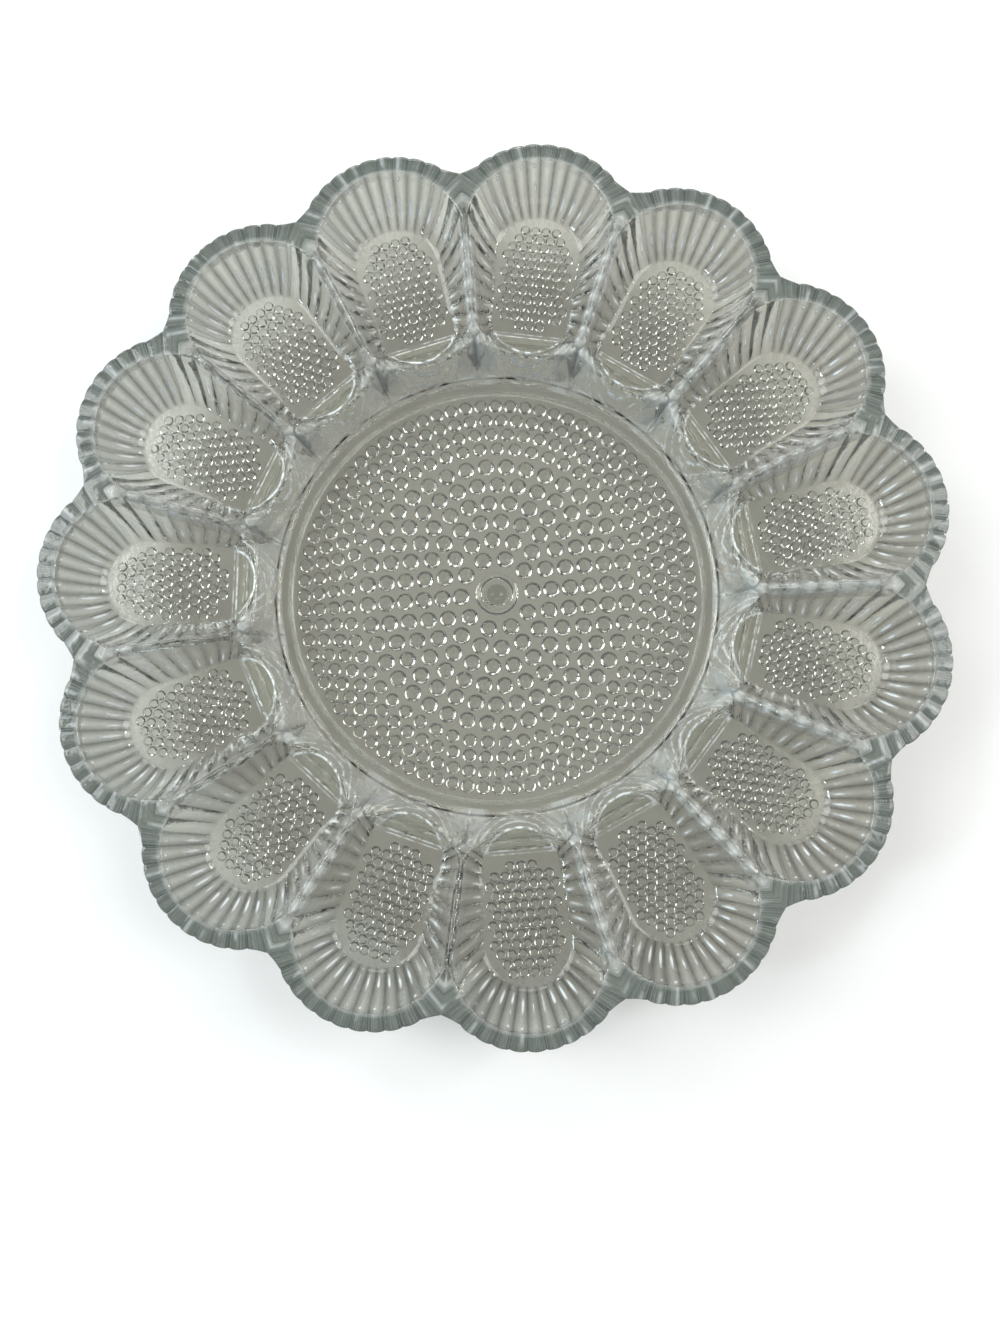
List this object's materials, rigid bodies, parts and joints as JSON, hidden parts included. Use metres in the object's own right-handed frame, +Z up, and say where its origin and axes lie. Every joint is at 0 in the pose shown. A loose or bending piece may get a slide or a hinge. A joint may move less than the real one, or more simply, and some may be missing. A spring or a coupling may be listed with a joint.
{
  "type": "deviled egg platter",
  "caption": "Round pressed-glass serving platter with a hobnailed centre dish, a ring of fluted egg wells and a scalloped rim.",
  "frame": {"origin": "on the table, under the centre of the platter", "axes": "+Z up, through the centre of the dish; the first egg well points to -Y; X to the right seen from the front"},
  "size_m": [0.2786, 0.2776, 0.032],
  "materials": {
    "pressed_glass": "clear pressed glass with a faint grey-green tint, fire-polished"
  },
  "bodies": {
    "root": {"centre_dish": "pressed_glass", "foot_ring": "pressed_glass", "centre_button": "pressed_glass", "dish_hobnails": "pressed_glass", "egg_well_01": "pressed_glass", "egg_well_02": "pressed_glass", "egg_well_03": "pressed_glass", "egg_well_04": "pressed_glass", "egg_well_05": "pressed_glass", "egg_well_06": "pressed_glass", "egg_well_07": "pressed_glass", "egg_well_08": "pressed_glass", "egg_well_09": "pressed_glass", "egg_well_10": "pressed_glass", "egg_well_11": "pressed_glass", "egg_well_12": "pressed_glass", "egg_well_13": "pressed_glass", "egg_well_14": "pressed_glass", "egg_well_15": "pressed_glass", "well_hobnails_01": "pressed_glass", "well_hobnails_02": "pressed_glass", "well_hobnails_03": "pressed_glass", "well_hobnails_04": "pressed_glass", "well_hobnails_05": "pressed_glass", "well_hobnails_06": "pressed_glass", "well_hobnails_07": "pressed_glass", "well_hobnails_08": "pressed_glass", "well_hobnails_09": "pressed_glass", "well_hobnails_10": "pressed_glass", "well_hobnails_11": "pressed_glass", "well_hobnails_12": "pressed_glass", "well_hobnails_13": "pressed_glass", "well_hobnails_14": "pressed_glass", "well_hobnails_15": "pressed_glass"}
  },
  "joints": []
}
